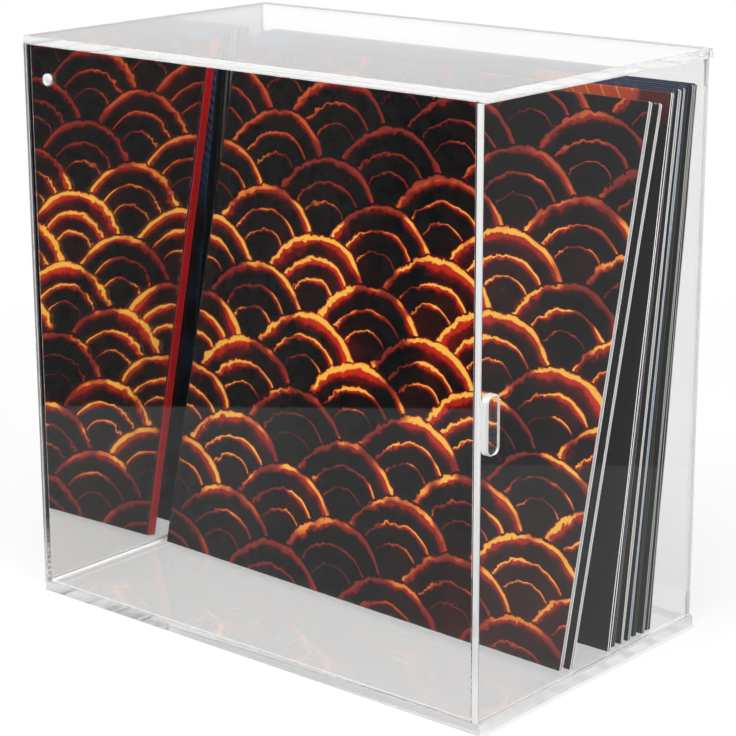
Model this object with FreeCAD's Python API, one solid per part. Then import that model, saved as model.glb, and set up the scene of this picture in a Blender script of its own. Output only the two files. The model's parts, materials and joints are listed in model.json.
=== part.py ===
import FreeCAD, Part
import math
import os

# A clear box for showing twelve-inch record sleeves, cemented from polished sheet. The right side is a door on two
# hidden pins, the left side is a mirror, and the sleeves lean back against each other inside.
# Millimetres. The origin is the middle of the base's underside: +X to the door, -Y to the front, +Z up.

# What the case is sized round
sleeve_side = 311.0
side_room = 10.6
head_room = 13.0

# Case
case_depth = 202.0
base_plate = 6.0
top_plate = 5.0
wall = 4.0
mirror_layer = 0.4
cut_overrun = 1.0

# Door and its pull block
door_recess = 1.4
door_side_gap = 0.4
door_edge_radius = 0.4
handle_depth = 4.1
handle_width = 10.7
handle_height = 32.0
handle_corner_radius = 4.2
handle_edge_radius = 0.8

# Hinge
pin_radius = 1.0
pin_running_clearance = 0.05
pin_depth_in_plate = 3.2
pin_bore_end_room = 0.4
pin_depth_in_door = 14.0
pin_tip_chamfer = 0.3
washer_radius = 1.9
washer_bore_clearance = 0.09
washer_thickness = 0.6
washer_top_clearance = 0.15

# Bright disc in the upper left corner of the front panel
disc_radius = 3.5
disc_depth = 2.6
disc_pocket_clearance = 0.05
disc_rim_chamfer = 0.35
disc_from_side = 18.7
disc_from_top = 23.8

# Sleeves
sleeve_thickness = 3.5
sleeve_gap = 0.3
sleeve_board = 0.6
sleeve_spine_radius = 0.5
sleeve_mouth_depth = 3.0

# Double sleeve in front: two pockets on a common spine, opened a little like a book
double_spine_width = 7.6
double_spine_board = 0.7
double_front_thickness = 2.7
double_rear_thickness = 2.4
double_opening_degrees = 0.8

# Each sleeve, from the rear panel forward: name, thickness as a share of the common one, lean and turn in degrees,
# and its shift to the right as a share of the room at its side
sleeve_shares = [
    ("sleeve_1", 1.00, 5.6, -0.05, 0.45),
    ("sleeve_2", 0.90, 6.1, -0.10, 0.60),
    ("sleeve_3", 1.20, 6.6, -0.15, 0.35),
    ("sleeve_4", 0.90, 7.1, -0.20, 0.55),
    ("sleeve_5", 1.05, 7.6, -0.25, 0.50),
    ("sleeve_6", 0.90, 8.1, -0.30, 0.30),
    ("sleeve_7", 1.05, 8.6, -0.35, 0.60),
]
double_lean, double_turn, double_shift_share = 12.7, -1.95, 0.45

# Places that follow from the sizes above
inner_width = sleeve_side + side_room
case_width = wall + inner_width + wall + door_recess
case_height = base_plate + sleeve_side + head_room + top_plate
left = -case_width / 2
right = case_width / 2
front = -case_depth / 2
rear = case_depth / 2
floor_level = base_plate
ceiling_level = case_height - top_plate
door_outer = right - door_recess
door_inner = door_outer - wall
fixed_wall_end = door_inner - door_side_gap
hinge_x = door_outer - wall / 2
hinge_y = rear - wall / 2
door_bottom = floor_level + washer_thickness
door_top = ceiling_level - washer_thickness
bay_middle = (left + wall + door_inner) / 2

x_axis = FreeCAD.Vector(1, 0, 0)
y_axis = FreeCAD.Vector(0, 1, 0)
z_axis = FreeCAD.Vector(0, 0, 1)


def box(x0, x1, y0, y1, z0, z1):
    return Part.makeBox(x1 - x0, y1 - y0, z1 - z0, FreeCAD.Vector(x0, y0, z0))


def hinge_cylinder(radius, z0, z1):
    return Part.makeCylinder(radius, z1 - z0, FreeCAD.Vector(hinge_x, hinge_y, z0), z_axis)


def disc_cylinder(radius, y0, y1):
    centre = FreeCAD.Vector(left + disc_from_side, y0, case_height - disc_from_top)
    return Part.makeCylinder(radius, y1 - y0, centre, y_axis)


def straight_edges(shape, direction):
    found = []
    for edge in shape.Edges:
        run = edge.Vertexes[-1].Point.sub(edge.Vertexes[0].Point)
        if run.Length > 0 and run.cross(direction).Length < run.Length * math.sin(math.radians(1)):
            found.append(edge)
    return found


def base_panel():
    panel = box(left, right, front, rear, 0, base_plate)
    bore_floor = floor_level - pin_depth_in_plate - pin_bore_end_room
    return panel.cut(hinge_cylinder(pin_radius + pin_running_clearance, bore_floor, floor_level + cut_overrun))


def top_panel():
    panel = box(left, right, front, rear, ceiling_level, case_height)
    bore_roof = ceiling_level + pin_depth_in_plate + pin_bore_end_room
    return panel.cut(hinge_cylinder(pin_radius + pin_running_clearance, ceiling_level - cut_overrun, bore_roof))


# The pocket for the bright disc is blind and opens at the outer face.
def front_panel():
    panel = box(left, fixed_wall_end, front, front + wall, floor_level, ceiling_level)
    return panel.cut(disc_cylinder(disc_radius + disc_pocket_clearance, front - cut_overrun, front + disc_depth))


def corner_disc():
    disc = disc_cylinder(disc_radius, front, front + disc_depth)
    rim = [edge for edge in disc.Edges if edge.Closed and abs(edge.CenterOfMass.y - front) < disc_rim_chamfer]
    return disc.makeChamfer(disc_rim_chamfer, rim)


def rear_panel():
    return box(left, fixed_wall_end, rear - wall, rear, floor_level, ceiling_level)


def mirror_sheet():
    return box(left + mirror_layer, left + wall, front + wall, rear - wall, floor_level, ceiling_level)


def mirror_backing():
    return box(left, left + mirror_layer, front + wall, rear - wall, floor_level, ceiling_level)


# The door is a plain sheet whose rear edge is a half round about the hinge axis, so that it turns in its own width.
# A blind bore in each end holds a pin.
def door_panel():
    sheet = box(door_inner, door_outer, front, hinge_y, door_bottom, door_top)
    front_edges = [edge for edge in straight_edges(sheet, z_axis) if edge.CenterOfMass.y < 0]
    sheet = sheet.makeFillet(door_edge_radius, front_edges)
    panel = sheet.fuse(hinge_cylinder(wall / 2, door_bottom, door_top)).removeSplitter()
    panel = panel.cut(hinge_cylinder(pin_radius, door_bottom - cut_overrun, door_bottom + pin_depth_in_door))
    return panel.cut(hinge_cylinder(pin_radius, door_top - pin_depth_in_door, door_top + cut_overrun))


# The pull block is a small rounded tablet, half way up the door and next to its rounded front edge.
def door_handle():
    middle = case_height / 2
    near = front + door_edge_radius
    tablet = box(door_outer, door_outer + handle_depth, near, near + handle_width,
                 middle - handle_height / 2, middle + handle_height / 2)
    tablet = tablet.makeFillet(handle_corner_radius, straight_edges(tablet, x_axis))
    outer_face = max(tablet.Faces, key=lambda face: face.CenterOfMass.x)
    return tablet.makeFillet(handle_edge_radius, outer_face.Edges)


def hinge_pin(z0, z1, tip_level):
    pin = hinge_cylinder(pin_radius, z0, z1)
    tip = [edge for edge in pin.Edges if edge.Closed and abs(edge.CenterOfMass.z - tip_level) < pin_tip_chamfer]
    return pin.makeChamfer(pin_tip_chamfer, tip)


def hinge_pin_bottom():
    tip_level = floor_level - pin_depth_in_plate
    return hinge_pin(tip_level, door_bottom + pin_depth_in_door, tip_level)


def hinge_pin_top():
    tip_level = ceiling_level + pin_depth_in_plate
    return hinge_pin(door_top - pin_depth_in_door, tip_level, tip_level)


def washer(z0, z1):
    ring = hinge_cylinder(washer_radius, z0, z1)
    bore = hinge_cylinder(pin_radius + washer_bore_clearance, z0 - cut_overrun, z1 + cut_overrun)
    return ring.cut(bore)


# A sleeve stands on its rear lower edge, which is the local X axis: its boards rise along Z and its spine is on the
# left. The mouth on the right is set back between two boards.
def sleeve_blank(thickness):
    half = sleeve_side / 2
    blank = box(-half, half, -thickness, 0, 0, sleeve_side)
    spine = [edge for edge in straight_edges(blank, z_axis) if edge.CenterOfMass.x < 0]
    blank = blank.makeFillet(sleeve_spine_radius, spine)
    mouth = box(half - sleeve_mouth_depth, half + cut_overrun, sleeve_board - thickness, -sleeve_board,
                -cut_overrun, sleeve_side + cut_overrun)
    return blank.cut(mouth)


# A sleeve moves back until one corner of its rear face is a gap away from the plane behind it: first the rear
# panel, then the front face of the sleeve behind.
def leaning_place(lean, turn, shift_share, plane_point, plane_normal):
    half = sleeve_side / 2
    corners = [FreeCAD.Vector(x, 0, z) for x in (-half, half) for z in (0, sleeve_side)]
    rotation = FreeCAD.Rotation(z_axis, turn).multiply(FreeCAD.Rotation(x_axis, -lean))
    foot = FreeCAD.Vector(bay_middle + shift_share * side_room / 2, 0, floor_level)
    reaches = [foot.add(rotation.multVec(c)).sub(plane_point).dot(plane_normal) for c in corners]
    foot.y = -(max(reaches) + sleeve_gap) / plane_normal.y
    return FreeCAD.Placement(foot, rotation)


# The spine strip of the double sleeve joins the left ends of its two pockets. The front pocket turns about the end
# of the strip, and the whole leans on the lower edge of its rear pocket.
def double_sleeve(place):
    half = sleeve_side / 2
    rear_pocket = sleeve_blank(double_rear_thickness)
    spine = box(-half - double_spine_board, -half, -double_spine_width, 0, 0, sleeve_side)
    folds = [edge for edge in straight_edges(spine, z_axis) if edge.CenterOfMass.x < -half]
    spine = spine.makeFillet(sleeve_spine_radius, folds)
    front_pocket = sleeve_blank(double_front_thickness)
    fold_in_pocket = FreeCAD.Vector(-half, sleeve_spine_radius - double_front_thickness, 0)
    fold_in_spine = FreeCAD.Vector(-half, sleeve_spine_radius - double_spine_width, 0)
    opening = FreeCAD.Placement(fold_in_spine.sub(fold_in_pocket), FreeCAD.Rotation(z_axis, -double_opening_degrees),
                                fold_in_pocket)
    rear_pocket.Placement = place
    spine.Placement = place
    front_pocket.Placement = place.multiply(opening)
    return {"sleeve_second": rear_pocket, "sleeve_spine": spine, "sleeve_front": front_pocket}


def sleeves():
    plane_point = FreeCAD.Vector(0, rear - wall, 0)
    plane_normal = y_axis
    made = {}
    for name, thickness_share, lean, turn, shift_share in sleeve_shares:
        thickness = thickness_share * sleeve_thickness
        place = leaning_place(lean, turn, shift_share, plane_point, plane_normal)
        plane_normal = place.Rotation.multVec(y_axis)
        plane_point = place.Base.sub(plane_normal * thickness)
        made[name] = sleeve_blank(thickness)
        made[name].Placement = place
    place = leaning_place(double_lean, double_turn, double_shift_share, plane_point, plane_normal)
    made.update(double_sleeve(place))
    print("double sleeve stands at", [round(v, 4) for v in place.Base])
    return made


pieces = {
    "base_panel": base_panel(),
    "top_panel": top_panel(),
    "front_panel": front_panel(),
    "rear_panel": rear_panel(),
    "mirror_sheet": mirror_sheet(),
    "mirror_backing": mirror_backing(),
    "corner_disc": corner_disc(),
    "door_panel": door_panel(),
    "door_handle": door_handle(),
    "hinge_pin_bottom": hinge_pin_bottom(),
    "hinge_pin_top": hinge_pin_top(),
    "washer_bottom": washer(floor_level, door_bottom),
    "washer_top": washer(door_top, ceiling_level - washer_top_clearance),
}
pieces.update(sleeves())

os.makedirs("parts", exist_ok=True)
for name, shape in pieces.items():
    shape.exportStep("parts/" + name + ".step")
    print(name, "solids", len(shape.Solids), "valid", shape.isValid(), "volume", round(shape.Volume, 1))
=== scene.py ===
import bpy, bmesh, json, math
import numpy as np
from mathutils import Matrix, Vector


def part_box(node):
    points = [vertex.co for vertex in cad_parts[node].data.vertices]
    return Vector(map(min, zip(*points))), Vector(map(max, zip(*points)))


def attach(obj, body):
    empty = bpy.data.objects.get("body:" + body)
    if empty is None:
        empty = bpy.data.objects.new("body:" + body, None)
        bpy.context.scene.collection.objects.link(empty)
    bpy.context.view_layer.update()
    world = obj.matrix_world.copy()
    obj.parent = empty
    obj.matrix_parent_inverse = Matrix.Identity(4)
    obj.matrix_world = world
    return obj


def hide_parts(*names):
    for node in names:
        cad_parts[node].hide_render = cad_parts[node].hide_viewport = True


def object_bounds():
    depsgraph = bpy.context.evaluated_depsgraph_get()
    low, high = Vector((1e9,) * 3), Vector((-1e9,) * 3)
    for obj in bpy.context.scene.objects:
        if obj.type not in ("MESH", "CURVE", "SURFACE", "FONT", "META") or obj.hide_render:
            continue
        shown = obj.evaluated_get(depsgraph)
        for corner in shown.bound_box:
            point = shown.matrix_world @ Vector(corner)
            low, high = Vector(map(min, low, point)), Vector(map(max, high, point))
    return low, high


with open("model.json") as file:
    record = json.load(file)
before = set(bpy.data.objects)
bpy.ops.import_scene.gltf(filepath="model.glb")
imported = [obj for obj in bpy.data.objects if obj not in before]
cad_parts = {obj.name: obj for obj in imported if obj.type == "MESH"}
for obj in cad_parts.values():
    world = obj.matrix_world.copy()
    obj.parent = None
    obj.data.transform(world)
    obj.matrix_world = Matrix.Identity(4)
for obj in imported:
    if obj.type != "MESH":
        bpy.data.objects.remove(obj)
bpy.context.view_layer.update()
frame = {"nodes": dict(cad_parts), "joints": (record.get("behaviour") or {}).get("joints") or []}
scene = bpy.context.scene
scene.view_settings.view_transform = "Standard"
mm, tiny = 0.001, 1e-6


# Shader wiring: an expression on wires adds its own Math nodes

class Wire:
    def __init__(self, finish, socket):
        self.finish, self.socket = finish, socket

    def maths(self, operation, *others):
        return self.finish.add("ShaderNodeMath", {"operation": operation}, dict(enumerate((self,) + others)))

    def __add__(self, other): return self.maths("ADD", other)
    def __radd__(self, other): return self.maths("ADD", other)
    def __sub__(self, other): return self.maths("SUBTRACT", other)
    def __mul__(self, other): return self.maths("MULTIPLY", other)
    def __rmul__(self, other): return self.maths("MULTIPLY", other)
    def __truediv__(self, other): return self.maths("DIVIDE", other)
    def __lt__(self, other): return self.maths("LESS_THAN", other)
    def __gt__(self, other): return self.maths("GREATER_THAN", other)
    def __abs__(self): return self.maths("ABSOLUTE")
    def __mod__(self, other): return self.maths("FLOORED_MODULO", other)

    def __rsub__(self, other):
        return self.finish.add("ShaderNodeMath", {"operation": "SUBTRACT"}, {0: other, 1: self})

    def __rtruediv__(self, other):
        return self.finish.add("ShaderNodeMath", {"operation": "DIVIDE"}, {0: other, 1: self})

    def floor(self): return self.maths("FLOOR")
    def root(self): return self.maths("SQRT")
    def least(self, other): return self.maths("MINIMUM", other)
    def most(self, other): return self.maths("MAXIMUM", other)

    def ease(self, low, high):      # 0 below low, 1 above high, smooth between
        return self.finish.add("ShaderNodeMapRange", {"interpolation_type": "SMOOTHSTEP"},
                               {"Value": self, "From Min": low, "From Max": high})


class Finish:
    def __init__(self, name, tree=None):
        if tree is None:
            self.material = bpy.data.materials.new(name)
            self.material.use_nodes = True
            tree = self.material.node_tree
        self.tree = tree
        self.tree.nodes.clear()

    def add(self, kind, settings=None, sockets=None, out=0):
        node = self.tree.nodes.new(kind)
        for key, value in (settings or {}).items():
            setattr(node, key, value)
        for key, value in (sockets or {}).items():
            if isinstance(value, Wire):
                self.tree.links.new(value.socket, node.inputs[key])
            else:
                node.inputs[key].default_value = value
        return Wire(self, node.outputs[out]) if node.outputs else None

    def place(self):                 # object coordinates as a vector and as three numbers
        vector = self.add("ShaderNodeTexCoord", out="Object")
        return vector, self.split(vector)

    def split(self, vector):
        node = self.tree.nodes.new("ShaderNodeSeparateXYZ")
        self.tree.links.new(vector.socket, node.inputs[0])
        return [Wire(self, socket) for socket in node.outputs]

    def join(self, x, y, z=0.0):
        return self.add("ShaderNodeCombineXYZ", None, {0: x, 1: y, 2: z})

    def noise(self, vector, scale, detail=3.0, roughness=0.55):
        return self.add("ShaderNodeTexNoise", {"noise_dimensions": "3D"},
                        {"Vector": vector, "Scale": scale, "Detail": detail, "Roughness": roughness})

    def mix(self, share, first, second):
        first, second = [(*c, 1) if isinstance(c, tuple) else c for c in (first, second)]
        return self.add("ShaderNodeMix", {"data_type": "RGBA", "clamp_factor": True},
                        {0: share, 6: first, 7: second}, out=2)

    def bump(self, height, strength, distance):
        return self.add("ShaderNodeBump", None, {"Height": height, "Strength": strength, "Distance": distance})

    def skin(self, **sockets):       # a Principled shader: underscores stand for the blanks in socket names
        return self.add("ShaderNodeBsdfPrincipled", None,
                        {key.replace("_", " "): (*v, 1) if isinstance(v, tuple) else v for key, v in sockets.items()})

    def blend(self, share, first, second):
        return self.add("ShaderNodeMixShader", None, {0: share, 1: first, 2: second})

    def show(self, shader):
        self.add("ShaderNodeOutputMaterial", None, {"Surface": shader})
        return self.material


def shaded(colour, share):
    return tuple(share * c for c in colour)


# Mesh helpers

def meshPiece(name, points, faces, finishes, body, slot, smooth=0, slotIds=None, uv=None, flatSlot=None):
    mesh = bpy.data.meshes.new(name)
    mesh.from_pydata(points, [], faces)
    for finish in finishes:
        mesh.materials.append(finish)
    if slotIds is not None:
        mesh.polygons.foreach_set("material_index", np.asarray(slotIds, np.int32))
    if uv is not None:
        mesh.uv_layers.new(name="wrap").data.foreach_set("uv", np.asarray(uv, np.float32).ravel())
    work = bmesh.new()
    work.from_mesh(mesh)
    bmesh.ops.recalc_face_normals(work, faces=work.faces)
    work.to_mesh(mesh)
    work.free()
    rounded = np.full(len(mesh.polygons), smooth > 0)
    if flatSlot is not None:
        rounded &= np.asarray(slotIds) != flatSlot
    if smooth:                       # degrees past which an edge stays sharp
        mesh.set_sharp_from_angle(angle=math.radians(smooth))
    mesh.polygons.foreach_set("use_smooth", rounded)
    piece = bpy.data.objects.new(name, mesh)
    scene.collection.objects.link(piece)
    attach(piece, body)
    return piece


# Quads of a grid of rows by columns whose columns close on themselves
def ringFaces(rows, columns):
    r, c = np.meshgrid(np.arange(rows - 1), np.arange(columns), indexing="ij")
    nextC = (c + 1) % columns
    quads = np.stack([r * columns + c, r * columns + nextC, (r + 1) * columns + nextC, (r + 1) * columns + c], -1)
    return quads.reshape(-1, 4)


# A rectangle's outline with quarter-round corners: each corner's centre plus its radius times (cos, sin).
# The radii run from the corner at high a and high b against the clock.
def roundedOutline(a0, a1, b0, b1, radii, steps):
    parts = []
    for q, r in enumerate(radii):
        turn = np.linspace(q, q + 1, steps) * np.pi / 2
        ca = a1 - r if q in (0, 3) else a0 + r
        cb = b1 - r if q in (0, 1) else b0 + r
        parts.append(np.stack([ca + r * np.cos(turn), cb + r * np.sin(turn)], 1))
    return np.concatenate(parts)


edgeSteps = 4      # points in the quarter round of an edge


# A sheet: the outline carried along axis by an edge profile that steps in by a quarter round at each end.
# Each blind bore opens at the end that its "face" names, 0 low and 1 high.
def sheetPoints(low, high, axis, corners, rounds, steps, bores=()):
    a, b = [k for k in range(3) if k != axis]
    turn = np.linspace(0, np.pi / 2, edgeSteps)
    lowRound, highRound = rounds
    thick = high[axis] - low[axis]
    insets = np.concatenate([lowRound * (1 - np.sin(turn)), highRound * (1 - np.cos(turn))])
    heights = np.concatenate([lowRound * (1 - np.cos(turn)), thick - highRound * (1 - np.sin(turn))])
    rows = []
    for inset, height in zip(insets, heights):
        ring = roundedOutline(low[a] + inset, high[a] - inset, low[b] + inset, high[b] - inset,
                              [max(c - inset, tiny) for c in corners], steps)
        row = np.empty((len(ring), 3))
        row[:, a], row[:, b], row[:, axis] = ring[:, 0], ring[:, 1], low[axis] + height
        rows.append(row)
    count = len(rows[0])
    points = np.concatenate(rows)
    faces = ringFaces(len(rows), count).tolist()
    caps = {0: list(range(count)), 1: list(range(len(points) - count, len(points)))}
    for bore in bores:
        n, side, start = bore["steps"], bore["face"], len(points)
        around = np.linspace(0, 2 * np.pi, n, endpoint=False)
        mouth = np.empty((n, 3))
        mouth[:, a] = bore["at"][0] + bore["radius"] * np.cos(around)
        mouth[:, b] = bore["at"][1] + bore["radius"] * np.sin(around)
        mouth[:, axis] = high[axis] if side else low[axis]
        end = mouth.copy()
        end[:, axis] += -bore["depth"] if side else bore["depth"]
        points = np.concatenate([points, mouth, end])
        faces += (ringFaces(2, n) + start).tolist()
        faces.append(list(range(start + n, start + 2 * n)))
        # the pierced face is two polygons that meet along a cut through the bore's middle
        cap = caps.pop(side)
        ring = points[cap]
        dirs = np.arctan2(ring[:, b] - bore["at"][1], ring[:, a] - bore["at"][0])
        i0, i1 = int(np.abs(dirs).argmin()), int((np.pi - np.abs(dirs)).argmin())
        upper = [cap[(i0 + k) % count] for k in range((i1 - i0) % count + 1)]
        under = [cap[(i1 + k) % count] for k in range((i0 - i1) % count + 1)]
        faces.append(upper + [start + k for k in range(n // 2, -1, -1)])
        faces.append(under + [start + k % n for k in range(n, n // 2 - 1, -1)])
    return points, faces + list(caps.values())


# A turned piece: a profile of (radius, height) carried round an axis through "centre"
def turnedPoints(profile, centre, axis, steps):
    around = np.linspace(0, 2 * np.pi, steps, endpoint=False)
    a, b = [k for k in range(3) if k != axis]
    points = np.empty((len(profile), steps, 3))
    radius, height = np.array(profile).T
    points[:, :, a] = centre[a] + radius[:, None] * np.cos(around)
    points[:, :, b] = centre[b] + radius[:, None] * np.sin(around)
    points[:, :, axis] = centre[axis] + height[:, None]
    return points.reshape(-1, 3), ringFaces(len(profile), steps).tolist()


# Camera at the photograph's place

view = {"place": (0.84982, -0.99540, 0.51243), "yaw": -40.32521, "pitch": 15.60451, "roll": -0.16416,
        "lens": 115.397, "sensor": 36, "near": 0.02}

yaw, pitch, roll = [math.radians(view[k]) for k in ("yaw", "pitch", "roll")]
ahead = np.array([math.sin(yaw) * math.cos(pitch), math.cos(yaw) * math.cos(pitch), -math.sin(pitch)])
level = np.array([math.cos(yaw), -math.sin(yaw), 0])
upward = np.cross(level, ahead)
across = math.cos(roll) * level + math.sin(roll) * upward
upright = math.cos(roll) * upward - math.sin(roll) * level
camera = bpy.data.objects.new("camera", bpy.data.cameras.new("camera"))
camera.data.lens, camera.data.sensor_width, camera.data.clip_start = view["lens"], view["sensor"], view["near"]
turned = Matrix(np.stack([across, upright, -ahead], 1).tolist()).to_4x4()
camera.matrix_world = Matrix.Translation(view["place"]) @ turned
scene.collection.objects.link(camera)
scene.camera = camera
print("camera set")


# Studio: a white table in a dim room, a pale sweep behind and soft lamps

studio = {"tableTurn": (0.62, 0.785), "tableLeft": -0.57, "tableRight": 0.478, "brink": 2 * mm, "tableWhite": 0.9,
          "tableMirrored": 0.42, "tableLit": 0.74, "floorLeft": 0.05, "floorRight": 0.26, "reach": 14.0,
          "drop": -0.2 * mm, "fill": 0.4, "dimFrom": (-0.45, -0.89), "dimSide": (0.1, 0.55), "dimTop": (0.25, 0.6),
          "dim": 0.08, "glow": 0.6, "underGlow": 0.85, "underPaintedShade": 0.84, "fade": (0.25, 0.9), "aim": (0, 0, 0.15)}
lamps = {"overhead": ((0.15, -0.6, 1.7), (1.5, 1.3), 21.0), "left": ((-0.9, -1.35, 1.05), (1.0, 1.1), 14.0),
         "right": ((1.55, -0.25, 0.95), (0.8, 1.0), 23.0)}

bounces = {"max_bounces": 28, "transmission_bounces": 24, "glossy_bounces": 24, "transparent_max_bounces": 32}

for kind, most in bounces.items():       # light passes many sheets here
    setattr(scene.cycles, kind, most)


# What kind of sight a ray is: straight for the camera's own, for what it sees through clear sheet and for light that
# is caught in a sheet's edge, seen for those and for what is mirrored once. Rays that only carry light are neither.
def sightOf(finish):
    node = finish.tree.nodes.new("ShaderNodeLightPath")
    direct, glossy, through, depth = [Wire(finish, node.outputs[key]) for key in (
        "Is Camera Ray", "Is Glossy Ray", "Is Transmission Ray", "Glossy Depth")]
    seen = direct.most(glossy).most(through)
    mirroredOnce = (depth > 0.5) * (depth < 1.5)
    return seen * (1 - mirroredOnce), seen


def buildStudio():
    world = bpy.data.worlds.new("studio")
    scene.world = world
    world.use_nodes = True
    air = Finish("studio", world.node_tree)
    x, y, z = air.split(air.add("ShaderNodeTexCoord", out="Generated"))
    straight, seen = sightOf(air)
    dx, dy = studio["dimFrom"]
    dimness = (x * dx + y * dy).ease(*studio["dimSide"]) * (1 - z.ease(*studio["dimTop"])) * (1 - straight)
    shade = studio["fill"] + seen * (1 - studio["fill"] - dimness * (1 - studio["dim"]))
    back = air.add("ShaderNodeBackground", None, {"Color": air.join(shade, shade, shade), "Strength": 1.0})
    air.add("ShaderNodeOutputWorld", None, {"Surface": back})

    paper = Finish("table")
    _, (x, y, _) = paper.place()
    nx, ny = studio["tableTurn"]
    along = x * nx + y * ny
    straight, seen = sightOf(paper)
    _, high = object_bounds()
    under = (abs(x) < high.x) * (abs(y) < high.y)
    sight = straight.most(seen * under)
    floor = studio["floorLeft"] + (along > 0.0) * (studio["floorRight"] - studio["floorLeft"])
    left, right, brink = studio["tableLeft"], studio["tableRight"], studio["brink"]
    onTable = along.ease(left - brink, left + brink) * (1 - along.ease(right - brink, right + brink))
    mirrored = floor + onTable * (studio["tableMirrored"] - floor)
    tone = mirrored + sight * (studio["tableWhite"] - mirrored)
    far = (x * x + y * y).root().ease(*studio["fade"])
    # Painted shadow: under the case the floor that the eye sees is mostly a flat grey level with the case's shadow
    # painted in, and only a small share is lit by the lamps
    glow = studio["glow"] + far * (1 - studio["glow"]) + under * (studio["underGlow"] - studio["glow"])
    lit = paper.add("ShaderNodeBsdfDiffuse", None, {"Color": paper.join(tone, tone, tone)})
    bright = sight * (1 - under * (1 - studio["underPaintedShade"])) + (1 - sight) * tone * studio["tableLit"]
    bare = paper.add("ShaderNodeEmission", None, {"Color": paper.join(bright, bright, bright), "Strength": 1.0})
    paper.show(paper.blend(sight * glow + (seen - seen * sight), lit, bare))
    mesh = bpy.data.meshes.new("table")
    reach, drop = studio["reach"], studio["drop"]
    mesh.from_pydata([(-reach, -reach, drop), (reach, -reach, drop), (reach, reach, drop), (-reach, reach, drop)],
                     [], [(0, 1, 2, 3)])
    mesh.materials.append(paper.material)
    table = bpy.data.objects.new("table", mesh)
    scene.collection.objects.link(table)

    for name, (spot, size, power) in lamps.items():
        lamp = bpy.data.lights.new("lamp_" + name, "AREA")
        lamp.shape, lamp.size, lamp.size_y, lamp.energy = "RECTANGLE", size[0], size[1], power
        holder = bpy.data.objects.new("lamp_" + name, lamp)
        away = np.array(spot) - np.array(studio["aim"])
        away = away / np.linalg.norm(away)
        side = np.cross([0, 0, 1], away)
        side = side / np.linalg.norm(side)
        axes = np.stack([side, np.cross(away, side), away], 1)
        holder.matrix_world = Matrix.Translation(spot) @ Matrix(axes.tolist()).to_4x4()
        holder.visible_camera = holder.visible_transmission = False
        scene.collection.objects.link(holder)
    print("studio lit by", len(lamps), "lamps")


buildStudio()


# Clear cast sheet: smooth glass to the eye, open to lamps, with edges painted pale white: painted light standing in
# for the glow of light piped along the sheet to its edges

# edge is the pale white painted on the edge faces as painted light; edges gives each edge finish the share it lets
# through
sheet = {"tint": (1.0, 0.999, 0.997), "ior": 1.49, "rough": 0.0, "lets": 0.965, "edge": (0.98, 0.98, 0.975),
         "edgeRough": 0.02, "edges": {"cutEdgeGlow": 0.74, "paleEdgeGlow": 0.2, "doorEdgeGlow": 0.46}, "broad": 5 * mm,
         "arris": 0.35 * mm, "corners": 3, "bond": 0.4 * mm, "silvered": 0.02 * mm}
doorSet = {"front": 0.4 * mm, "ends": 0.2 * mm, "corners": 9}
boreSet = {"plate": {"radius": 1.05 * mm, "depth": 3.6 * mm, "steps": 32},
           "door": {"radius": 1.0 * mm, "depth": 14.0 * mm, "steps": 32},
           "disc": {"radius": 3.55 * mm, "depth": 2.62 * mm, "steps": 64}}


def clearSheet():
    finish = Finish("clearSheet")
    glass = finish.skin(Base_Color=sheet["tint"], Roughness=sheet["rough"], IOR=sheet["ior"], Transmission_Weight=1.0)
    lets = (sheet["lets"],) * 3 + (1,)
    openSheet = finish.add("ShaderNodeBsdfTransparent", None, {"Color": lets})
    path = finish.tree.nodes.new("ShaderNodeLightPath")
    forLamps = finish.blend(Wire(finish, path.outputs["Is Shadow Ray"]), glass, openSheet)
    return finish.show(finish.blend(Wire(finish, path.outputs["Is Diffuse Ray"]), forLamps, openSheet))


# Painted light on an edge: it lets a share of the light through and scatters the rest off a pale white base, standing
# in for light piped along the sheet to its polished edge
def paintedEdgeGlow(name, share):
    finish = Finish(name)
    vector, _ = finish.place()
    cloud = finish.noise(vector, 55.0, 4.0, 0.65)
    pale = finish.mix(cloud, shaded(sheet["edge"], 0.93), sheet["edge"])
    return finish.show(finish.skin(Base_Color=pale, Roughness=sheet["edgeRough"] + cloud * 0.06, IOR=sheet["ior"],
                                   Transmission_Weight=share))


clear = clearSheet()
cutEdgeGlow, paleEdgeGlow, doorEdgeGlow = [paintedEdgeGlow(name, share) for name, share in sheet["edges"].items()]
acrylic = [clear, cutEdgeGlow, paleEdgeGlow, doorEdgeGlow]      # slots 0 to 3 of each fixed sheet


def nodeBox(node):
    low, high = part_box(node)
    return np.array(low), np.array(high)


# Faces square to the sheet's thin direction are clear, the rest are edges
def clearFaces(points, faces, thin):
    flat = [np.ptp(points[face], 0) for face in faces]
    return [0 if span[thin] < tiny and sorted(span)[1] > sheet["broad"] else 1 for span in flat]


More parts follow.
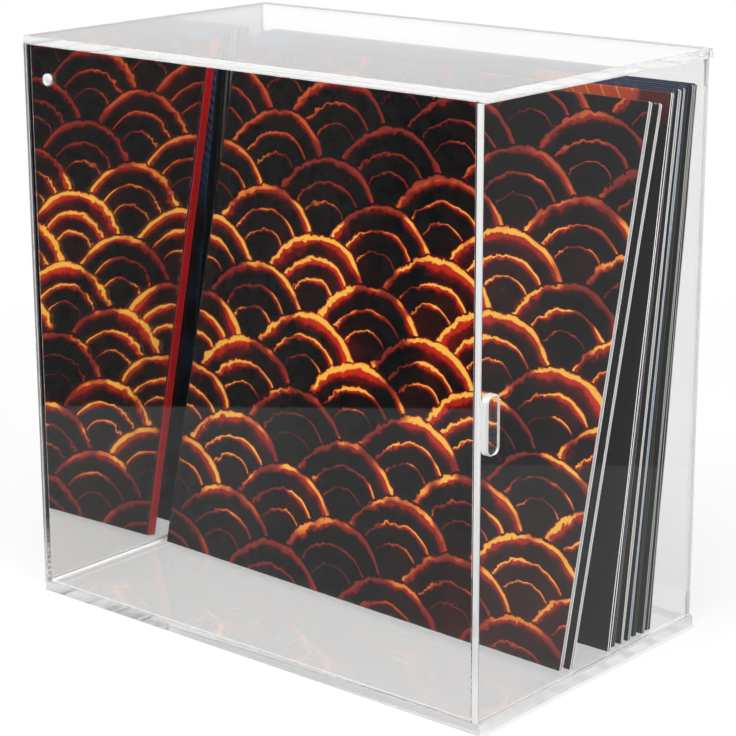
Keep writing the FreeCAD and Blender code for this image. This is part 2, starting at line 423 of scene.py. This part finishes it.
# Each fixed sheet is its solid's box. Where it is cemented to another it runs into it by a hair, so that the eye
# looks from one into the other with no air between.
def buildSheets():
    hinge = frame["joints"][0]["pos_m"]
    discAt = sum(nodeBox("corner_disc")) / 2
    # each sheet's thin direction, and its cemented ends: the direction, and 0 for low or 1 for high
    bonds = {"base_panel": (2, ()), "top_panel": (2, ()),
             "front_panel": (1, ((2, 0), (2, 1))), "rear_panel": (1, ((2, 0), (2, 1))),
             "mirror_sheet": (0, ((1, 0), (1, 1), (2, 0), (2, 1)))}
    bores = {"base_panel": [{"at": hinge[:2], "face": 1, **boreSet["plate"]}],
             "top_panel": [{"at": hinge[:2], "face": 0, **boreSet["plate"]}],
             "front_panel": [{"at": (discAt[0], discAt[2]), "face": 0, **boreSet["disc"]}]}
    arris = sheet["arris"]
    for node, (axis, bonded) in bonds.items():
        low, high = nodeBox(node)
        for k, end in bonded:
            (high if end else low)[k] += sheet["bond"] if end else -sheet["bond"]
        if node == "mirror_sheet":
            low[0] -= sheet["silvered"]
        points, faces = sheetPoints(low, high, axis, [arris] * 4, [arris] * 2, sheet["corners"], bores.get(node, ()))
        slotIds = np.array(clearFaces(points, faces, axis))
        leftmost = np.array([points[face][:, 0].min() for face in faces])
        # Painted light by the door: the rear panel's end beside it takes the palest edge finish and the base's end
        # under it the door's, for the bright strip there
        if axis == 1:                    # the ends beside the door
            slotIds[leftmost > high[0] - arris] = 0 if node == "front_panel" else 2
        if node == "base_panel":         # and the one under it
            slotIds[leftmost > high[0] - 2 * arris] = 3
        for k, end in bonded:
            past = [high[k] - points[face][:, k].min() if end else points[face][:, k].max() - low[k]
                    for face in faces]
            slotIds[np.array(past) < sheet["bond"]] = 0
        piece = meshPiece("sheet_" + node, points, faces, acrylic, "case", "acrylic", slotIds=slotIds)
        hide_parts(node)
    # the door stands on end: its outline is half round at the hinge, with a bore for a pin at each end
    low, high = nodeBox("door_panel")
    half, front = (high[0] - low[0]) / 2 - tiny, doorSet["front"]
    ends = [{"at": hinge[:2], "face": end, **boreSet["door"]} for end in (0, 1)]
    points, faces = sheetPoints(low, high, 2, [half, half, front, front], [doorSet["ends"]] * 2, doorSet["corners"],
                                ends)
    piece = meshPiece("sheet_door", points, faces, [clear, doorEdgeGlow], "door", "acrylic", smooth=25,
                      slotIds=clearFaces(points, faces, 0), flatSlot=0)
    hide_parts("door_panel")
    print("clear sheets made")


buildSheets()


# Beads of cement in the two corners that show: a quarter round about the corner, carried along it. Their near-white
# colour is partly painted highlight, for the bright line along these seams
bead = {"mirror": 1.0 * mm, "front": 0.7 * mm, "white": (0.97, 0.97, 0.965), "into": 0.2 * mm, "steps": 7}


def beadHighlightFinish():
    finish = Finish("beadHighlightFinish")
    vector, _ = finish.place()
    cloud = finish.noise(vector, 180.0, 3.0)
    return finish.show(finish.skin(Base_Color=finish.mix(cloud, shaded(bead["white"], 0.9), bead["white"]),
                                   Roughness=0.3 + cloud * 0.15))


def buildBeads():
    cement = beadHighlightFinish()
    floor = nodeBox("base_panel")[1][2]
    inLeft, inFront = nodeBox("mirror_sheet")[1][0], nodeBox("front_panel")[1][1]
    inRear, inRight = nodeBox("rear_panel")[0][1], nodeBox("front_panel")[1][0]
    turn, into = np.linspace(0, np.pi / 2, bead["steps"]), bead["into"]
    runs = {"bead_mirror": (bead["mirror"], 0, inLeft, 1, inFront, inRear),
            "bead_front": (bead["front"], 1, inFront, 0, inLeft, inRight)}
    for name, (radius, out, start, along, first, last) in runs.items():
        quarter = [(radius * math.cos(a), radius * math.sin(a)) for a in turn]
        outline = [(-into, -into), (radius, -into)] + quarter + [(-into, radius)]
        points = np.empty((2, len(outline), 3))
        for row, end in zip(points, (first, last)):
            row[:, along] = end
            row[:, out], row[:, 2] = np.array(outline).T
        points[:, :, out] += start
        points[:, :, 2] += floor
        count = len(outline)
        faces = ringFaces(2, count).tolist() + [list(range(count)), list(range(count, 2 * count))]
        meshPiece(name, points.reshape(-1, 3), faces, [cement], "case", "acrylic", smooth=40)
    print("cement beads laid")


buildBeads()


# Pull block: a sheet with round corners whose outer edge is a broad quarter round
pull = {"corner": 4.2 * mm, "corners": 12, "root": 0.1 * mm, "nose": 0.8 * mm, "bond": 0.15 * mm}


def buildPull():
    low, high = nodeBox("door_handle")
    low[0] -= pull["bond"]
    points, faces = sheetPoints(low, high, 0, [pull["corner"]] * 4, (pull["root"], pull["nose"]), pull["corners"])
    piece = meshPiece("pull_block", points, faces, [clear, doorEdgeGlow], "door", "acrylic", smooth=30,
                      slotIds=clearFaces(points, faces, 0), flatSlot=0)
    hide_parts("door_handle")
    print("pull block made")


buildPull()


# Mirror: silvered on the side that faces in, grey paint behind

silver = {"metal": (0.93, 0.925, 0.92), "paint": (0.42, 0.43, 0.44)}


def mirrorFinish():
    finish = Finish("mirrorFinish")
    vector, _ = finish.place()
    nx, _, _ = finish.split(finish.add("ShaderNodeTexCoord", out="Normal"))
    inward = nx > 0.5
    grain = finish.noise(vector, 260.0, 4.0)
    paint = finish.mix(grain, shaded(silver["paint"], 0.9), shaded(silver["paint"], 1.08))
    skin = finish.skin(Base_Color=finish.mix(inward, paint, silver["metal"]), Metallic=inward,
                       Roughness=(1 - inward) * (0.5 + grain * 0.12))
    return finish.show(skin)


mirror = mirrorFinish()
frame["nodes"]["mirror_backing"].data.materials.clear()
frame["nodes"]["mirror_backing"].data.materials.append(mirror)
print("mirror silvered")


# Bright disc, pins and washers: turned pieces

turnedSet = {"discSteps": 64, "discDome": 0.12 * mm, "discPlay": 0.45 * mm, "discRim": 0.35 * mm,
             "discGroove": 0.3 * mm, "discLip": 0.1 * mm, "discSink": 0.02 * mm, "steps": 40,
             "pinTip": 0.3 * mm, "pinPlay": 0.01 * mm, "hole": 1.09 * mm, "edge": 0.12 * mm, "lift": 0.01 * mm,
             "nickel": (0.95, 0.94, 0.94), "steel": (0.56, 0.57, 0.58), "nylon": (0.86, 0.86, 0.84),
             "nylonDark": (0.80, 0.80, 0.78)}


def metalFinish(name, colour, axis, rough, metallic=1.0):
    finish = Finish(name)
    _, xyz = finish.place()
    streak = finish.noise(finish.join(*[c * (900.0 if k == axis else 60.0) for k, c in enumerate(xyz)]), 1.0, 3.0)
    skin = finish.skin(Base_Color=finish.mix(streak, shaded(colour, 0.88), colour), Metallic=metallic,
                       Roughness=rough + streak * 0.14, Normal=finish.bump(streak, 0.08, 0.0002))
    return finish.show(skin)


def nylonFinish():
    finish = Finish("nylonFinish")
    vector, _ = finish.place()
    mottle = finish.noise(vector, 900.0, 2.0)
    skin = finish.skin(Base_Color=finish.mix(mottle, turnedSet["nylonDark"], turnedSet["nylon"]),
                       Roughness=0.42 + mottle * 0.1)
    return finish.show(skin)


def buildTurned():
    nickel = metalFinish("nickelFinish", turnedSet["nickel"], 2, 0.42, 0.35)
    steel = metalFinish("pinFinish", turnedSet["steel"], 2, 0.24)
    nylon = nylonFinish()
    low, high = nodeBox("corner_disc")
    rim, sink = turnedSet["discRim"], turnedSet["discSink"]
    r, deep = (high[0] - low[0]) / 2 - turnedSet["discPlay"], high[1] - low[1] - sink
    centre = ((low[0] + high[0]) / 2, low[1], (low[2] + high[2]) / 2)
    dome = [(tiny, 0.0)] + [((r - 3 * rim) * t, turnedSet["discDome"] * t * t) for t in np.linspace(0, 1, 9)[1:]]
    profile = dome + [(r - 2 * rim, turnedSet["discGroove"]), (r - 1.5 * rim, sink), (r - rim, 0.0),
                      (r - 0.3 * rim, turnedSet["discLip"]), (r, rim), (r, deep), (tiny, deep)]
    piece = meshPiece("disc_corner", *turnedPoints(profile, centre, 1, turnedSet["discSteps"]), [nickel], "case",
                      "bright_metal", smooth=40)
    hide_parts("corner_disc")
    steps, tip = turnedSet["steps"], turnedSet["pinTip"]
    for node in ("hinge_pin_bottom", "hinge_pin_top"):
        low, high = nodeBox(node)
        mid, r, tall = (low + high) / 2, (high[0] - low[0]) / 2 - turnedSet["pinPlay"], high[2] - low[2]
        profile = [(tiny, 0), (r - tip, 0), (r, tip), (r, tall - tip), (r - tip, tall), (tiny, tall)]
        piece = meshPiece(node.replace("hinge_pin", "pin"), *turnedPoints(profile, (mid[0], mid[1], low[2]), 2, steps),
                          [steel], "door", "pin_steel", smooth=30)
        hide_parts(node)
    hole, edge, lift = turnedSet["hole"], turnedSet["edge"], turnedSet["lift"]
    for node, body in (("washer_bottom", "case"), ("washer_top", "door")):
        low, high = nodeBox(node)
        mid, r, tall = (low + high) / 2, (high[0] - low[0]) / 2, high[2] - low[2]
        profile = [(hole, edge), (hole + edge, lift), (r - edge, lift), (r, edge), (r, tall - edge),
                   (r - edge, tall - lift), (hole + edge, tall - lift), (hole, tall - edge)]
        points, faces = turnedPoints(profile, (mid[0], mid[1], low[2]), 2, steps)
        last = (len(profile) - 1) * steps
        faces += [[last + k, last + (k + 1) % steps, (k + 1) % steps, k] for k in range(steps)]
        piece = meshPiece(node.replace("washer", "ring"), points, faces, [nylon], body, "washer", smooth=30)
        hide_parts(node)
    print("disc, pins and washers turned")


buildTurned()


# Record sleeves

sleeveSet = {"double": ("sleeve_front", "sleeve_second"), "doublePinch": -0.06, "doubleWorn": 0.75, "pinch": 0.16,
             "worn": 0.06, "bare": (0.62, 0.58, 0.53), "gloss": 0.15, "pocket": 9.0 * mm,
             "discRing": (144 * mm, 157 * mm), "fold": 0.34, "foldSteps": 5, "corner": 1.4 * mm, "thinnest": 0.05,
             "slit": 0.03, "slitEase": 4 * mm, "shallowest": 0.08, "columns": 72, "rows": 72, "coarse": 0.6,
             "finest": ("sleeve_front", "sleeve_1"), "bow": 0.30, "bowReach": 26 * mm, "bows": 2.6, "bowShift": 2.4}
innerSet = {"paper": 0.16 * mm, "short": 6 * mm, "low": 8 * mm, "gap": 0.08 * mm, "pocket": 2.2 * mm, "columns": 30,
            "rows": 30, "fold": 0.3, "corner": 2 * mm}


def nodePoints(node):
    mesh = frame["nodes"][node].data
    co = np.empty(len(mesh.vertices) * 3)
    mesh.vertices.foreach_get("co", co)
    return co.reshape(-1, 3)


# Where a sleeve stands, read from its solid: the largest face gives the cover's direction and its levellest side the
# foot's. The sleeve's own axes run along its foot, square through its covers and up its boards.
def leanFrame(node):
    mesh = frame["nodes"][node].data
    points = nodePoints(node)
    cover = max(mesh.polygons, key=lambda face: face.area)
    through = np.array(cover.normal) * (1 if cover.normal[1] > 0 else -1)
    corners = points[list(cover.vertices)]
    sides = np.roll(corners, -1, 0) - corners
    sides = sides / np.linalg.norm(sides, axis=1)[:, None]
    foot = sides[np.abs(sides[:, 2]).argmin()]
    foot = foot * (1 if foot[0] > 0 else -1)
    through = through - (through @ foot) * foot
    through = through / np.linalg.norm(through)
    axes = np.stack([foot, through, np.cross(foot, through)], 1)
    local = points @ axes
    low, high = local.min(0), local.max(0)
    origin = axes @ np.array([(low[0] + high[0]) / 2, (low[1] + high[1]) / 2, low[2]])
    return origin, axes, high - low


# An envelope open on the right. Each row is one loop at a height: along the front from mouth to spine, round the
# spine, along the back to the mouth, then into the pocket and out again. Half thickness is the full one inside the
# ring of the disc and pinched by a share outside it. Ends fold over in a quarter round. Near the mouth the boards
# close by a sine's share of their height, which dies away from the mouth.
def envelope(width, thick, tall, board, pocket, pinch, columns, rows, fold, corner, bow=0.0, phase=0.0):
    half, r = thick / 2, fold * thick
    turn = np.linspace(0, np.pi / 2, sleeveSet["foldSteps"])
    ends = r * (1 - np.cos(turn))
    z = np.concatenate([ends, np.linspace(r, tall - r, rows)[1:-1], tall - ends[::-1]])
    rise = np.minimum(z, tall - z)
    endCut = np.where(rise < r, r - np.sqrt(np.maximum(r * r - (r - rise) ** 2, 0)), 0)
    nip = np.where(rise < corner, corner - np.sqrt(np.maximum(corner ** 2 - (corner - rise) ** 2, 0)), 0)
    right = width / 2
    along = np.linspace(right, -right + r, columns)
    cornerX, cornerCut = -right + r * (1 - np.sin(turn[1:])), ends[1:]
    outX = np.concatenate([along, cornerX])                     # one cover, from mouth to the middle of the spine
    outCut = np.concatenate([np.zeros(columns), cornerCut])
    reach = np.sqrt(outX[None, :] ** 2 + (z[:, None] - tall / 2) ** 2)
    low, high = sleeveSet["discRing"]
    t = np.clip((reach - low) / (high - low), 0, 1)
    squeeze = half * (1 - pinch * t * t * (3 - 2 * t))
    swing = 0.5 - 0.5 * np.cos(2 * np.pi * sleeveSet["bows"] * z / tall + phase)
    squeeze = squeeze * (1 - bow * swing[:, None] * np.exp((outX - right) / sleeveSet["bowReach"])[None, :])
    thin = np.maximum(squeeze - outCut[None, :] - endCut[:, None], sleeveSet["thinnest"] * half)
    xs = np.clip(outX[None, :] * np.ones((len(z), 1)), -right + nip[:, None], right - nip[:, None])
    inner = np.maximum(thin[:, :1] - board, sleeveSet["slit"] * half)      # half of the mouth's own width
    deep = np.clip(rise / sleeveSet["slitEase"], sleeveSet["shallowest"], 1.0) * pocket
    mouthX = xs[:, :1]
    pocketX = np.concatenate([mouthX, mouthX - deep[:, None] / 2, mouthX - deep[:, None]], 1)
    front = np.stack([xs, -thin], -1)
    back = np.stack([xs[:, ::-1], thin[:, ::-1]], -1)
    innerBack = np.stack([pocketX, np.repeat(inner, 3, 1)], -1)
    innerFront = np.stack([pocketX[:, ::-1], -np.repeat(inner, 3, 1)], -1)
    loop = np.concatenate([front, back, innerBack, innerFront], 1)
    points = np.concatenate([loop, np.repeat(z[:, None, None], loop.shape[1], 1)], -1)
    n = len(outX)
    # 0 front, 1 spine, 2 back, 3 cut board edge, 4 inside, 5 end of the pocket
    region = np.concatenate([np.zeros(n - 3), np.ones(6), np.full(n - 4, 2), [3], [4, 4, 5, 4, 4], [3]]).astype(int)
    return points, region


# The loops joined up and set where the sleeve stands. Each region has its own unit of u: front, spine, back, rest.
def shellPiece(name, points, region, where, finishes, regionSlots, body, slot):
    origin, axes, size = where
    rows, columns, _ = points.shape
    flat = points.reshape(-1, 3)
    faces = ringFaces(rows, columns)
    colour = np.tile(region, rows - 1)
    across = np.where(colour[:, None] == 1, flat[faces][:, :, 1] / size[1] + 0.5,
                      np.where(colour[:, None] == 2, 0.5 - flat[faces][:, :, 0] / size[0],
                               flat[faces][:, :, 0] / size[0] + 0.5))
    u = np.clip(across, 0.001, 0.999) + np.minimum(colour, 3)[:, None]
    v = flat[faces][:, :, 2] / size[2]
    ends = [list(range(columns)), list(range((rows - 1) * columns, rows * columns))]
    endUv = [np.stack([np.clip(flat[e][:, 0] / size[0] + 0.5, 0.001, 0.999), flat[e][:, 2] / size[2]], 1)
             for e in ends]
    uv = np.concatenate([np.stack([u, v], -1).reshape(-1, 2)] + endUv)
    slotIds = np.concatenate([np.array(regionSlots)[colour], [regionSlots[0]] * 2])
    placed = origin + flat @ axes.T
    return meshPiece(name, placed, faces.tolist() + ends, finishes, body, slot, smooth=35, slotIds=slotIds, uv=uv)


# Printed board: "art" gets the cover's own u and v and returns a colour for it. Rubbed edges show the bare board.
def printFinish(name, art, spine, back, worn):
    finish = Finish(name)
    vector, _ = finish.place()
    wrap = finish.add("ShaderNodeUVMap", {"uv_map": "wrap"})
    u, v, _ = finish.split(wrap)
    onSpine = (u > 1.0) * (u < 2.0)
    onBack = u > 2.0
    x = u % 1.0
    fibre = finish.noise(vector, 700.0, 2.0)
    scuff = finish.noise(vector, 90.0, 4.0, 0.7)
    colour = art(finish, x, v)
    colour = finish.mix(onBack, colour, back(finish, x, v))
    colour = finish.mix(onSpine, colour, spine)
    edge = x.least(1 - x).least(v).least(1 - v) * (1 - onSpine) + onSpine * v.least(1 - v)
    wear = (1 - edge.ease(0.0, 0.0035)) * scuff.ease(0.52, 0.72)
    colour = finish.mix(wear * worn, colour, sleeveSet["bare"])
    skin = finish.skin(Base_Color=colour, Roughness=sleeveSet["gloss"] + scuff * 0.07 + wear * 0.4,
                       Specular_IOR_Level=0.08, Normal=finish.bump(fibre, 0.02, 0.0002))
    return finish.show(skin)


# Plain dark print with a slow drift between two colours and a fine grain
def plainArt(dark, light):
    def art(finish, x, y):
        drift = finish.noise(finish.join(x, y), 3.0, 4.0)
        grain = finish.noise(finish.join(x, y), 190.0, 2.0)
        return finish.mix(drift * 0.7 + grain * 0.3, dark, light)
    return art


# Scallops: rows of circles, each row half a circle lower and shifted by a radius, the lowest row in front.
# The result is a point's distance from the middle of the circle it lies in, as a share of the radius.
def scallops(finish, x, y, radius):
    step = radius * 0.5
    first = ((y - radius) / step).floor() + 1
    result = None
    for k in (2, 1, 0):
        row = first + k
        offset = (row % 2.0) * radius
        dx = (x + offset) % (2 * radius) - radius
        dy = y - row * step
        far = (dx * dx + dy * dy).root() / radius
        if result is None:
            result = far
        else:
            inside = far < 1.0
            result = far * inside + result * (1 - inside)
    return result


emberSet = {"radius": 0.150, "arcs": ((0.940, 0.052, 1.0), (0.655, 0.030, 0.7), (0.40, 0.018, 0.5)),
            "ground": (0.0024, 0.0023, 0.0023), "stone": (0.0075, 0.0070, 0.0068), "smoke": (0.10, 0.006, 0.006),
            "haze": (0.13, 0.008, 0.010), "red": (0.20, 0.006, 0.004), "glow": (0.52, 0.020, 0.010),
            "dull": (0.22, 0.027, 0.019), "orange": (0.78, 0.115, 0.012), "hot": (0.84, 0.46, 0.062)}


# Front cover: ember arcs on charcoal. Each arc has a rough yellow core that is broad where the ground is hot, and a
# red glow on its inner side that dies away over twice its width.
def emberArt(finish, x, y):
    place = finish.join(x, y)
    waver = finish.noise(place, 9.0, 3.0) - 0.5
    ragged = finish.noise(finish.join(x, y, 0.21), 46.0, 5.0, 0.68) - 0.5
    t = scallops(finish, x + waver * 0.014 + ragged * 0.026, y + waver * 0.016 - ragged * 0.022, emberSet["radius"])
    heat = finish.noise(finish.join(x, y, 0.37), 5.2, 3.0, 0.6).ease(0.36, 0.64)
    heat = heat * (1 - abs(y - 0.44).ease(0.10, 0.44) * 0.78)
    swell = finish.noise(finish.join(x, y, 0.63), 17.0, 3.0).ease(0.30, 0.72)
    core = rim = None
    for at, width, share in emberSet["arcs"]:
        wide = (0.22 + heat * 0.62 + swell * 0.36) * width
        cold = (1 - share) * (1 - heat)
        arc = 1 - abs(t - at) / wide - cold
        inner = 1 - abs(t - at + 0.9 * wide) / (1.9 * wide) - cold
        core = arc if core is None else core.most(arc)
        rim = inner if rim is None else rim.most(inner)
    grit = finish.noise(place, 95.0, 3.0, 0.65) - 0.5
    core, rim = core - grit * 0.55 - 0.12, rim - grit * 0.7
    stone = finish.mix(finish.noise(place, 30.0, 4.0, 0.6).ease(0.35, 0.8), emberSet["ground"], emberSet["stone"])
    smoke = finish.noise(finish.join(x, y, 0.8), 7.0, 5.0, 0.6).ease(0.42, 0.75) * heat
    colour = finish.mix(smoke * 0.5, stone, emberSet["smoke"])
    haze = x.ease(0.55, 0.95) * (1 - y.ease(0.02, 0.22)) * finish.noise(place, 11.0, 4.0, 0.6).ease(0.3, 0.7)
    colour = finish.mix(haze * 0.45, colour, emberSet["haze"])
    colour = finish.mix(rim.ease(-0.9, 0.25) * (0.05 + heat * 0.55), colour, emberSet["red"])
    colour = finish.mix(rim.ease(0.05, 0.65) * (0.22 + heat * 0.78), colour, emberSet["glow"])
    colour = finish.mix(core.ease(-0.10, 0.12) * 0.8, colour, emberSet["dull"])
    colour = finish.mix(core.ease(-0.06, 0.22) * heat.ease(0.08, 0.40), colour, emberSet["orange"])
    colour = finish.mix(core.ease(0.10, 0.40) * heat.ease(0.16, 0.50), colour, emberSet["hot"])
    spark = finish.noise(finish.join(x, y, 0.5), 120.0, 1.0).ease(0.77, 0.82) * (0.15 + heat * 0.85)
    return finish.mix(spark * 0.7, colour, emberSet["orange"])


stripeSet = {"ground": (0.0050, 0.0050, 0.0054), "grit": (0.011, 0.011, 0.012), "cloud": (0.020, 0.075, 0.150),
             "stripe": (0.030, 0.130, 0.250), "stripes": 64.0, "field": ((0.27, 0.020, 0.006), (0.42, 0.060, 0.010)),
             "fieldFrom": 0.945, "fieldEnd": (0.060, 0.008, 0.006), "line": (0.55, 0.17, 0.02), "lines": 30.0}


# Slanted blue stripes that die away from the left edge and a burnt-orange field along the top with thin lines across
# it, on charcoal
def stripesArt(finish, x, y):
    slant = abs(((x * 0.6 - y * 0.8) * stripeSet["stripes"]) % 1.0 - 0.5).ease(0.10, 0.30)
    striped = (1 - x.ease(0.05, 0.17)) * y.ease(0.62, 0.80) * (0.2 + slant * 0.8)
    grain = finish.noise(finish.join(x, y), 60.0, 3.0)
    cloud = finish.noise(finish.join(x, y, 0.4), 9.0, 3.0).ease(0.42, 0.62) * (1 - x.ease(0.06, 0.30))
    colour = finish.mix(grain, stripeSet["ground"], stripeSet["grit"])
    colour = finish.mix(cloud * (0.35 + grain * 0.4), colour, stripeSet["cloud"])
    colour = finish.mix(striped, colour, stripeSet["stripe"])
    field = (y > stripeSet["fieldFrom"]) * x.ease(0.70, 0.74)
    warm = finish.mix(finish.noise(finish.join(x, y), 14.0, 4.0), *stripeSet["field"])
    warm = finish.mix(x.ease(0.925, 0.94), warm, stripeSet["fieldEnd"])
    lines = abs(((x + y * 0.7) * stripeSet["lines"]) % 1.0 - 0.5) < 0.05
    warm = finish.mix(lines * (x < 0.92), warm, stripeSet["line"])
    return finish.mix(field, colour, warm)


# A framed field with soft bands across it
def bandsArt(ground, band, frameColour, frameFrom=0.055, frameTo=0.062):
    def art(finish, x, y):
        wave = finish.noise(finish.join(x * 0.6, y * 3.0), 4.0, 2.0)
        field = finish.mix(wave.ease(0.42, 0.62), ground, band)
        edge = x.least(1 - x).least(y).least(1 - y)
        return finish.mix((edge > frameFrom) * (edge < frameTo), field, frameColour)
    return art


def paperFinish(name, colour):
    finish = Finish(name)
    vector, _ = finish.place()
    fibre = finish.noise(vector, 1600.0, 4.0, 0.7)
    cloud = finish.noise(vector, 70.0, 3.0)
    tone = finish.mix(fibre * 0.5 + cloud * 0.5, shaded(colour, 0.86), colour)
    return finish.show(finish.skin(Base_Color=tone, Roughness=0.82 - cloud * 0.08,
                                   Normal=finish.bump(fibre, 0.15, 0.0001)))


grooves = {"dark": (0.008, 0.008, 0.009), "light": (0.02, 0.02, 0.021)}


def vinylFinish():
    finish = Finish("vinylFinish")
    _, (x, y, z) = finish.place()
    groove = finish.noise(finish.join(x * 40.0, y * 2200.0, z * 40.0), 1.0, 2.0)
    return finish.show(finish.skin(Base_Color=finish.mix(groove, grooves["dark"], grooves["light"]),
                                   Roughness=0.22 + groove * 0.12))


dark, soot, navy = (0.0065, 0.0065, 0.007), (0.016, 0.015, 0.015), (0.006, 0.013, 0.040)
white, cream, pale, moss = (0.96, 0.95, 0.94), (0.86, 0.84, 0.82), (0.40, 0.485, 0.565), (0.30, 0.315, 0.295)
plainDark, plainNavy = plainArt(dark, soot), plainArt(shaded(navy, 0.7), navy)


# Dark, with navy along the top
def toppedArt(finish, x, y):
    return finish.mix(y.ease(0.90, 0.93), plainDark(finish, x, y), plainNavy(finish, x, y))


# Each cover: slot, front, spine, back, board edge, what fills the mouth, how far that is set back, board. The grey
# that fills the two front sleeves' mouths is painted shade inside the mouth
covers = {
    "sleeve_front": ("sleeve_front", emberArt, (0.30, 0.012, 0.012), plainDark, white, (0.72, 0.71, 0.71), 0.5 * mm,
                     0.5 * mm),
    "sleeve_second": ("sleeve_dark", plainDark, (0.20, 0.010, 0.010), plainDark, white, (0.72, 0.71, 0.71), 0.5 * mm,
                      0.5 * mm),
    "sleeve_7": ("sleeve_orange", stripesArt, (0.012, 0.018, 0.030), plainDark, white, soot, 2.4 * mm, 0.8 * mm),
    "sleeve_6": ("sleeve_dark", toppedArt, (0.02, 0.02, 0.02), plainDark, (0.16, 0.14, 0.17), dark, 2.0 * mm,
                 0.6 * mm),
    "sleeve_5": ("sleeve_dark", toppedArt, (0.25, 0.24, 0.23), plainDark, cream, (0.62, 0.61, 0.60), 0.4 * mm,
                 0.6 * mm),
    "sleeve_4": ("sleeve_blue", toppedArt, (0.30, 0.38, 0.48), plainArt((0.22, 0.29, 0.38), (0.34, 0.42, 0.52)),
                 (0.60, 0.66, 0.73), pale, 0.4 * mm, 0.5 * mm),
    "sleeve_3": ("sleeve_dark", toppedArt, (0.02, 0.02, 0.02), plainDark, (0.05, 0.05, 0.048), (0.02, 0.02, 0.02),
                 1.0 * mm, 0.5 * mm),
    "sleeve_2": ("sleeve_grey", toppedArt, (0.20, 0.21, 0.19), plainArt((0.14, 0.16, 0.14), (0.24, 0.26, 0.23)),
                 (0.52, 0.55, 0.50), moss, 0.6 * mm, 0.5 * mm),
    "sleeve_1": ("sleeve_navy", toppedArt, (0.016, 0.024, 0.044),
                 bandsArt((0.010, 0.016, 0.034), (0.030, 0.055, 0.105), (0.42, 0.36, 0.24)), (0.42, 0.43, 0.41), soot,
                 2.0 * mm, 0.6 * mm),
}


def buildSleeves():
    vinyl = vinylFinish()
    for count, (node, cover) in enumerate(covers.items()):
        slot, art, spine, back, edge, fillingAndShade, setBack, board = cover
        double = node in sleeveSet["double"]
        body = "front_sleeve" if double else "case"
        pinch, worn = [sleeveSet[key] for key in (("doublePinch", "doubleWorn") if double else ("pinch", "worn"))]
        bow = 0.0 if double else sleeveSet["bow"]
        where = leanFrame(node)
        origin, axes, (wide, thick, tall) = where
        printed = printFinish("print_" + node, art, spine, back, worn)
        edgeTone = paperFinish("board_" + node, edge)
        # for the two front sleeves this lining grey is painted shade inside the mouth, also on their inner sleeves
        inside = paperFinish("liner_" + node, fillingAndShade)
        fine = 1.0 if node in sleeveSet["finest"] else sleeveSet["coarse"]
        columns, rows = int(sleeveSet["columns"] * fine), int(sleeveSet["rows"] * fine)
        points, region = envelope(wide, thick, tall, board, sleeveSet["pocket"], pinch, columns, rows,
                                  sleeveSet["fold"], sleeveSet["corner"], bow, sleeveSet["bowShift"] * count)
        outer = shellPiece("cover_" + node, points, region, where, [printed, edgeTone, inside],
                           [0, 0, 0, 1, 2, 2], body, slot)
        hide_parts(node)
        # the inner sleeve, a thin envelope of paper round the disc, set back in the mouth
        room = thick * (1 - max(pinch, 0)) * (1 - bow) - 2 * board - 2 * innerSet["gap"]
        size = np.array([wide - innerSet["short"], room, tall - innerSet["low"]])
        start = origin + axes @ np.array([innerSet["short"] / 2 - setBack, 0, innerSet["low"] / 2])
        points, region = envelope(*size, innerSet["paper"], innerSet["pocket"], 0.0, innerSet["columns"],
                                  innerSet["rows"], innerSet["fold"], innerSet["corner"])
        shellPiece("inner_" + node, points, region, (start, axes, size), [inside, vinyl], [0, 0, 0, 0, 0, 1], body,
                   slot)
    print("sleeves filled:", len(covers))


buildSleeves()


bindSet = {"red": (0.70, 0.006, 0.010), "worn": (0.50, 0.20, 0.19), "wrap": (0.016, 0.015, 0.015), "wrapWide": 0.07,
           "wrapSoft": 0.01, "fold": 0.5 * mm, "hidden": 0.05 * mm, "ends": 0.15 * mm, "corners": 6}


# Spine of the double sleeve: red board, dark where the covers wrap over its folds and worn pale beside them
def bindFinish():
    finish = Finish("bindFinish")
    vector, _ = finish.place()
    across = finish.split(finish.add("ShaderNodeUVMap", {"uv_map": "wrap"}))[0]
    scuff = finish.noise(vector, 120.0, 4.0, 0.7)
    inward = across.least(1 - across)
    red = finish.mix(scuff, shaded(bindSet["red"], 0.8), bindSet["red"])
    wide, soft = bindSet["wrapWide"], bindSet["wrapSoft"]
    worn = (1 - abs(inward - wide - 0.03).ease(0.0, 0.05)) * (0.35 + scuff * 0.6)
    colour = finish.mix(inward.ease(wide - soft, wide + soft), bindSet["wrap"], red)
    return finish.show(finish.skin(Base_Color=finish.mix(worn, colour, bindSet["worn"]),
                                   Roughness=0.3 + scuff * 0.12 + worn * 0.2, Specular_IOR_Level=0.1))


def buildSpine():
    _, axes, _ = leanFrame("sleeve_second")
    local = nodePoints("sleeve_spine") @ axes
    low, high = local.min(0), local.max(0)
    fold, hidden = bindSet["fold"], bindSet["hidden"]
    points, faces = sheetPoints(low, high, 2, [hidden, fold, fold, hidden], [bindSet["ends"]] * 2, bindSet["corners"])
    u = (points[:, 1] - low[1]) / (high[1] - low[1])
    v = (points[:, 2] - low[2]) / (high[2] - low[2])
    uv = np.concatenate([np.stack([u[face], v[face]], 1) for face in faces])
    piece = meshPiece("cover_sleeve_spine", points @ axes.T, faces, [bindFinish()], "front_sleeve",
                      "sleeve_red", smooth=35, uv=uv)
    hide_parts("sleeve_spine")
    print("spine bound")


buildSpine()
